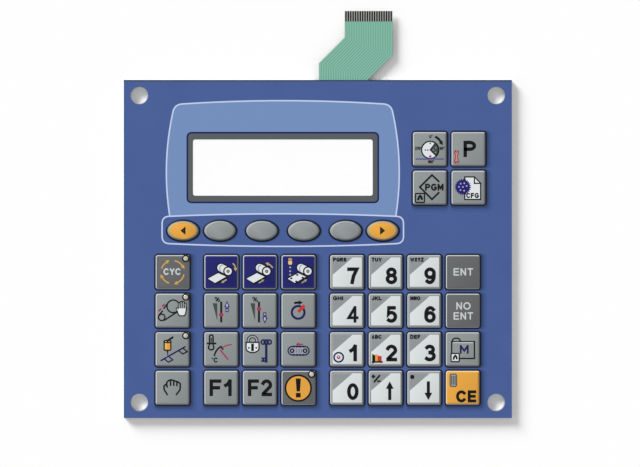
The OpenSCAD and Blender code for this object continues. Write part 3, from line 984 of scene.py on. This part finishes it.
def step_mark(x, y, up):
    """A pale arrow with a navy edge and a gap in its shaft: up is 1 or -1."""
    tip = np.array([(-0.85, 0.0), (0.0, 2.0), (0.85, 0.0)]) * (1, up) + (x, y)
    neck = np.array([(0.45, 0.0), (0.45, -0.5), (-0.45, -0.5), (-0.45, 0.0)]) * (1, up) + (x, y)
    tail = np.array([(-0.45, -0.95), (0.45, -0.95), (0.45, -2.1), (-0.45, -2.1)]) * (1, up) + (x, y)
    return (
        patch("lilac", tip)
        + patch("lilac", neck)
        + line("navy", 0.28, tip, neck, tip[0])
        + edged("lilac", "navy", 0.28, tail)
    )


legends["jog"] = (
    ring("black", 0.5, 0.28, 1.83, 2.65)
    + ring("black", 0.5, -4.57, -2.78, 1.35)
    + line("black", 0.5, (-3.6, -4.1), (1.75, -0.6))
    + line("black", 0.5, (-5.75, -1.9), (-4.1, 0.05))
    + line("black", 0.5, (-3.8, 0.8), (-2.3, 2.75))
    + line("rose", 0.6, (-5.9, -0.15), (-4.8, 0.9))
    + line("rose", 0.6, (-4.45, 1.75), (-3.35, 2.8))
    + open_hand()
)
legends["ramp_up"] = speed_slider(-0.05, -1.66) + step_mark(2.4, 1.75, 1)
legends["ramp_down"] = speed_slider(-0.4, 0.75) + step_mark(2.05, -3.0, -1)
legends["rotate"] = (
    ring("navy_line", 0.85, -0.15, -0.7, 2.65)
    + line("red", 1.25, (-0.15, -0.5), (2.55, 2.2))
    + arrow("black", 0.8, 1.75, arc(-0.15, -3.5, 6.9, 104, 88))
)
BOTTLE = ((-3.55, 3.4), (-3.55, -0.1), (-3.2, -0.45), (-1.1, -0.45), (-0.75, -0.1), (-0.75, 3.4))
TRAY = np.array([(0, 0), (1.7, -1.4), (3.6, -0.4), (1.9, 0.9)])
legends["glue"] = (
    edged("orange", "black", 0.45, *BOTTLE)
    + line("cream", 0.5, (-2.75, 2.6), (-2.75, 0.4))
    + edged("cream", "black", 0.45, arc(-2.15, 3.3, 1.4, ry=0.5))
    + disc("black", -2.15, 3.4, 0.38)
    + line("black", 0.75, (-2.15, 3.45), (-1.1, 4.3), (0.3, 5.2))
    + line("black", 0.5, (-2.15, -0.6), (-2.15, -1.3))
    + patch("lilac", (-2.1, -1.9), (-3.1, -3.8), (-0.9, -3.4))
    + line("navy_line", 0.3, (-2.1, -1.3), (-2.0, -3.4))
    + line("navy_line", 0.5, (-5.05, -4.8), (5.45, 1.2))
    + line("navy_line", 0.42, TRAY + (-3.5, -4.0))
    + line("black", 0.42, TRAY + (2.55, -0.55))
)
THUMB = ((-2.1, -3.05), (-3.55, -0.7), (-3.65, 0.75), (-2.9, 1.4), (-2.35, 1.05), (-2.3, 0.1))
KNUCKLES = ((-2.55, 1.4), (-2.35, 2.45), (-1.5, 3.2), (-0.5, 3.4), (0.95, 2.9), (2.35, 2.5), (3.2, 1.75),
            (3.15, -0.7), (1.45, -3.05))
clefts = ((-0.85, 3.1, 0.85), (0.48, 2.9, 0.85), (1.8, 2.5, 0.7))
legends["hand"] = (
    line("black", 0.58, THUMB)
    + line("black", 0.58, KNUCKLES)
    + each(lambda x, top, low: line("black", 0.55, (x, top), (x, low)), clefts)
)
print("legends so far:", len(legends))

# %% Process keys
legends["heat"] = (
    ring("black", 0.55, -4.25, 0.85, 1.1)
    + disc("key_grey", -4.25, 1.7, 0.72)
    + line("black", 0.55, (-4.95, 1.7), (-4.95, 5.3), arc(-4.2, 5.3, 0.75, 180, 0), (-3.45, 1.7))
    + line("black", 0.35, (-4.2, 2.9), (-4.2, 4.9))
    + line("black", 0.6, (-6.1, 2.45), (-2.1, 2.45))
    + line("black", 0.58, arc(2.4, -3.6, 5.4, 172, 118), (0.75, -0.2))
    + line("rose", 0.4, arc(4.6, -6.0, 8.0, 122, 92))
    + line("rose", 0.52, (-0.5, -0.25), (2.85, -4.3))
    + disc("black", -3.75, -3.8, 0.32)
    + words("black", "C", -2.35, -4.5, 2.1, 1.75, 0.4)
)
SHACKLE = path((-4.9, 2.8), arc(-3.1, 3.6, 1.8, 180, 0), (-1.3, 2.8))
LOCK_BODY = path((-5.8, 2.9), (-5.8, 0.4), arc(-3.1, 0.4, 2.7, 180, 360, 1.75), (-0.4, 0.4), (-0.4, 2.9))
legends["lock"] = (
    line("black", 1.3, SHACKLE)
    + line("mid_grey", 0.5, SHACKLE)
    + edged("white", "black", 0.45, LOCK_BODY)
    + line("black", 1.05, (-3.1, 2.4), (-3.1, -0.75))
    + each(lambda x: disc("black", x, 0.6, 0.38), (-4.65, -1.55))
    + each(lambda x: ring("navy_line", 0.55, x, 3.05, 0.88), (1.4, 3.9, 2.65))
    + line("navy_line", 0.9, (2.65, 2.4), (2.65, -5.6))
    + each(lambda y: line("navy_line", 0.55, (0.6, y), (2.3, y)), (-3.75, -4.95))
    + line("navy_line", 0.65, (1.4, -3.6), (1.4, -5.1))
)
CHAIN = path(arc(2.65, -0.6, 1.75, -90, 90), arc(-2.6, -0.6, 1.75, 90, 270), (2.65, -2.35))
CHEVRON = np.array([(-0.45, 0.3), (0, -0.6), (-0.45, -1.5)])
chain_links = [(x, y) for x in (-2.0, -0.65, 0.7, 2.05) for y in (1.15, -2.35)]
legends["chain"] = (
    patch("mid_grey", CHAIN)
    + line("navy_line", 0.5, CHAIN)
    + each(lambda x, y: disc("navy_line", x, y, 0.5, 0.45), chain_links)
    + each(lambda x: line("violet", 0.15, CHEVRON + (x, 0)), (-0.7, 0.4, 1.4))
    + each(lambda x: disc("black", x, -0.6, 1.0), (-2.7, 2.75))
    + each(lambda x: disc("mid_grey", x, -0.6, 0.4), (-2.7, 2.75))
    + arrow("rose", 0.4, 1.4, (1.8, 2.1), (0.2, 2.1))
)
print("legends so far:", len(legends))

# %% Setting keys
def jump_box(x, y, half, fill, weight=0.68):
    """A small box with a bold hook in it: the mark for a short cut."""
    hook = np.array([(-0.45, -0.55), (-0.22, 0.2), (0.06, 0.46), (0.3, 0.2), (0.46, -0.45)]) * half
    box = square_loop(half, 0.25)
    return edged(fill, "black", 0.45, box + (x, y)) + line("black", weight, hook + (x, y))


FOLDER = ((-4.75, -3.85), (4.8, -3.85), (4.8, 3.2), (-0.9, 3.2), (-1.6, 4.3), (-2.2, 4.65), (-3.5, 4.65),
          (-4.2, 4.2), (-4.75, 3.2), (-4.75, -3.85))
legends["memory"] = (
    line("black", 0.5, FOLDER)
    + line("black", 0.4, (-4.75, 3.2), (-0.9, 3.2))
    + line("word_white", 0.3, (-4.2, 2.8), (4.3, 2.8))
    + words("navy_line", "M", 0.5, 0.0, 3.6, 3.6, 0.66)
    + jump_box(-3.3, -3.45, 1.7, "white")
)
DIAL = (0.08, -0.35)
DIAL_MARKS = (
    ("0", 0.1, 5.2, 0.75),
    ("90", 4.8, 0.3, 1.5),
    ("180", 0.1, -5.3, 2.1),
    ("270", -5.2, 0.3, 2.2),
)
legends["angle"] = (
    edged("white", "black", 0.45, arc(*DIAL, 3.6))
    + edged("wedge_grey", "black", 0.4, DIAL, arc(*DIAL, 3.5, -45, 53))
    + arrow("black", 0.85, 1.7, arc(0.3, 0.9, 4.7, 67, 27))
    + line("violet", 0.4, (-6.05, -4.18), (5.8, -4.18))
    + disc("rose", 0.1, -3.05, 0.5)
    + disc("black", 0.1, 2.4, 0.33)
    + each(lambda x: disc("black", x, -0.4, 0.3), (-1.95, -0.95))
    + each(lambda x, y: disc("mid_grey", x, y, 0.25), [(1.4, -0.4), (2.4, 0.6), (2.4, -1.4)])
    + each(lambda text, x, y, w: words("black", text, x, y, 1.2, w, 0.16), DIAL_MARKS)
    + each(lambda text, x, y, w: ring("black", 0.08, x + w / 2 + 0.32, y + 0.5, 0.14), DIAL_MARKS)
)
JAW = path(arc(0, 1.75, 0.95, -60, 62), (0.3, 1.95), (-0.3, 1.95), arc(0, 1.75, 0.95, 118, 240))
wrench = path(JAW, -JAW) + (-5.05, -3.25)
legends["setup"] = (
    words("black", "P", 0.5, 0.05, 6.8, 5.2, 1.35)
    + line("pink", 0.55, (-5.05, -5.1), (-5.05, -1.4))
    + line("brick", 0.28, wrench, wrench[0])
)
legends["program"] = (
    line("black", 0.66, (3.9, 2.4), (0.83, 5.3), (-4.3, 0.25), (0.83, -4.9), (3.9, -1.9))
    + words("black", "PGM", 1.8, 0.2, 2.9, 7.7, 0.62)
    + jump_box(-4.2, -4.3, 1.85, "key_grey", 0.85)
)
GEAR_AT = np.array([-2.4, 0.3])
GEAR_STEPS = 4 * 24 + 1
gear_r = np.where(np.arange(GEAR_STEPS) % 4 < 2, 2.9, 3.45)
gear = GEAR_AT + gear_r[:, None] * turned(np.linspace(0, 360, GEAR_STEPS))
gear_holes = path(GEAR_AT, arc(*GEAR_AT, 1.65, 15, 315)[::6])
legends["config"] = (
    edged("white", "black", 0.45, (-1.6, 4.5), (-1.6, -4.95), (5.05, -4.95), (5.05, 1.8), (2.45, 4.5))
    + edged("white", "black", 0.45, (2.45, 4.5), (2.45, 1.8), (5.05, 1.8))
    + words("black", "CFG", 1.66, -3.3, 2.1, 5.3, 0.46)
    + patch("navy", gear)
    + each(lambda x, y: disc("lilac", x, y, 0.33), gear_holes)
)
for key, way in (("scroll_left", -1), ("scroll_right", 1)):
    legends[key] = patch("black", (-1.05 * way, 1.75), (1.05 * way, 0), (-1.05 * way, -1.75))
    legends[key] += disc("wedge_grey", -0.3 * way, 0, 0.25)
for key, layers in legends.items():
    printed("legend_" + key, layers, key_at[key], face_top)
print("legends:", len(legends), "with", sum(len(layers) for layers in legends.values()), "bands")

# %% [markdown]
# The tail is clear film with silver tracks under a green insulating print. The print follows the tracks, so
# it shows a fine rib over each of them. Across the tail the ribs are a cosine, and along it the same profile
# is carried over four stations: the panel's edge, the two bends, and the line where the bare contacts begin.
# Because the left and right edges bend at different heights, each station is a slanting line between them.
# The green is lighter over each track, by the piece's own map, which runs from 0 to 1 across.

# %% Print the tail
TAIL_STATIONS = np.array([
    [(0.5, 71.02), (20.92, 71.02)],
    [(0.5, 78.1), (21.0, 71.1)],
    [(11.3, 88.9), (31.4, 81.5)],
    [(11.3, 95.6), (31.4, 95.6)],
])
TRACKS = 20
RIB_POINTS = 8
RIB_H = 0.03
COAT_T = 0.03
TAIL_SCALE = 500
ONE_WAVE = np.pi / 10
green = surface("tail_green")
across = green.node_tree.nodes.new("ShaderNodeUVMap")
across.uv_map = "across"
wave = put(green.node_tree.nodes.new("ShaderNodeTexWave"), Scale=TRACKS * ONE_WAVE)
green.node_tree.links.new(across.outputs["UV"], wave.inputs["Vector"])
two_tone(green, (112, 166, 147), (136, 190, 171), wave.outputs["Fac"])
drive(green, "Roughness", wander(green, TAIL_SCALE, 0.38, 0.5))


def tail_print():
    """Rows of points at the stations: left + t (right - left) across, and a cosine rib over each track."""
    t = np.linspace(0, 1, TRACKS * RIB_POINTS + 1)
    rib = RIB_H * (0.5 - 0.5 * np.cos(2 * np.pi * TRACKS * t))
    left, right = TAIL_STATIONS[:, :1], TAIL_STATIONS[:, 1:]
    flat = left + t[None, :, None] * (right - left)
    rows, columns = flat.shape[:2]
    top = np.dstack([flat, np.broadcast_to(circuit_top + COAT_T + rib, (rows, columns))])
    under = np.dstack([flat, np.full((rows, columns), circuit_top)])
    skin = np.concatenate([top, under[:, ::-1]], 1)
    width = 2 * columns
    strip = np.arange(columns - 1)
    ends = np.stack([strip, strip + 1, width - 2 - strip, width - 1 - strip], -1)
    faces = np.vstack([grid(rows, width), ends, ends + (rows - 1) * width]).tolist()
    kinds = ["green"] * len(faces)
    made = piece("tail_print", skin.reshape(-1, 3), faces, kinds, {"green": green})
    share = np.tile(np.concatenate([t, t[::-1]]), rows)
    corner = np.empty(len(made.data.loops), int)
    made.data.loops.foreach_get("vertex_index", corner)
    across = np.column_stack([share[corner], np.zeros(len(corner))])
    made.data.uv_layers.new(name="across").data.foreach_set("uv", across.ravel())
    return made


print("tail print:", len(tail_print().data.polygons), "faces")

# %% [markdown]
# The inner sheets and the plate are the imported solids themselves, and they only need their finish. The plate
# is mill-finish aluminium: the rolling leaves long, fine streaks, so its noise is stretched along one axis.
# The plastic sheets show as thin lines at the panel's edge.

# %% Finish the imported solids
METAL_GLOSS = 0.5
STREAK_FINER = 2.5


def metal(name, colour, scale, rough, stretch, depth):
    """Rolled or brushed metal: streaks along the axis with the small stretch, in roughness and height."""
    made = surface(name, METAL_GLOSS, Base_Color=(*linear(*colour).tolist(), 1.0), Metallic=1.0)
    drive(made, "Roughness", wander(made, scale, *rough, stretch))
    grain(made, wander(made, STREAK_FINER * scale, stretch=stretch), depth)
    return made


NODE_FINISH = {
    "support_plate": metal("mill_aluminium", (214, 216, 218), 900, (0.28, 0.46), (0.04, 1, 1), 0.003),
    "rear_adhesive": satin("adhesive_sheet", (208, 206, 192), 0.5),
    "overlay_adhesive": satin("adhesive_film", (196, 196, 186), 0.5),
    "dome_spacer": satin("milky_spacer", (214, 214, 208), 0.4),
    "circuit_film": satin("clear_circuit", (170, 172, 169), 0.35),
    "tail_contacts": satin("carbon_ink", (16, 16, 17), 0.6, 0.1, 0.004),
    "tail_stiffener": satin("stiffener_white", (222, 222, 214), 0.5),
}
dome_finish = metal("spring_steel", (205, 204, 200), 2500, (0.2, 0.34), (1, 0.08, 1), 0.001)
lamp_finish = satin("lamp_resin", (228, 222, 190), 0.3)
for name, node in nodes.items():
    chosen = NODE_FINISH.get(name, dome_finish if name.startswith("dome_") else lamp_finish)
    node.data.materials.clear()
    node.data.materials.append(chosen)
print("finished", len(nodes), "packed nodes")

# %% [markdown]
# Last come the stage, the light and the camera. The panel lies on a pale floor. A broad low light from the
# upper left gives the soft shadow to the right and below, and an even pale sky fills it. The camera looks
# straight down from a metre above the film, and its lens is sensor x distance / field, where the field is as
# wide as the picture is at the film.

# %% Light it and look down on it
FLOOR_GREY = 0.865
FLOOR_HALF = 1.5
FLOOR_SCALE = 40
SUN_POWER = 4.04
SUN_SPREAD = 26
SUN_FROM = (-0.61, 0.678, 0.41)
SKY_POWER = 0.62
EYE_HEIGHT = 1000.0
EYE_AT = (0.924, 6.51)
FIELD_W = 268.8
SENSOR_W = 36

ground = bpy.data.meshes.new("floor")
ground.from_pydata(np.column_stack([corner_signs * FLOOR_HALF, np.zeros(4)]).tolist(), [], [[0, 1, 2, 3]])
pale_floor = surface("pale_floor", 0.0, Base_Color=(FLOOR_GREY, FLOOR_GREY, FLOOR_GREY, 1))
drive(pale_floor, "Roughness", wander(pale_floor, FLOOR_SCALE, 0.85, 0.95))
ground.materials.append(pale_floor)
floor = in_scene("floor", ground)

lamp = bpy.data.lights.new("key_light", "SUN")
lamp.energy = SUN_POWER
lamp.angle = np.radians(SUN_SPREAD)
sun = in_scene("key_light", lamp)
sun.rotation_euler = Vector(SUN_FROM).to_track_quat("Z", "Y").to_euler()
sky = bpy.data.worlds.new("sky")
sky.use_nodes = True
put(sky.node_tree.nodes["Background"], Color=(1, 1, 1, 1), Strength=SKY_POWER)
bpy.context.scene.world = sky

eye = bpy.data.cameras.new("camera")
eye.sensor_width = SENSOR_W
eye.lens = SENSOR_W * EYE_HEIGHT / FIELD_W
camera = in_scene("camera", eye)
camera.location = (EYE_AT[0] * MM, EYE_AT[1] * MM, (film_top + EYE_HEIGHT) * MM)
bpy.context.scene.camera = camera
bpy.context.scene.view_settings.view_transform = "Standard"
print("lens:", round(eye.lens, 1), "mm")
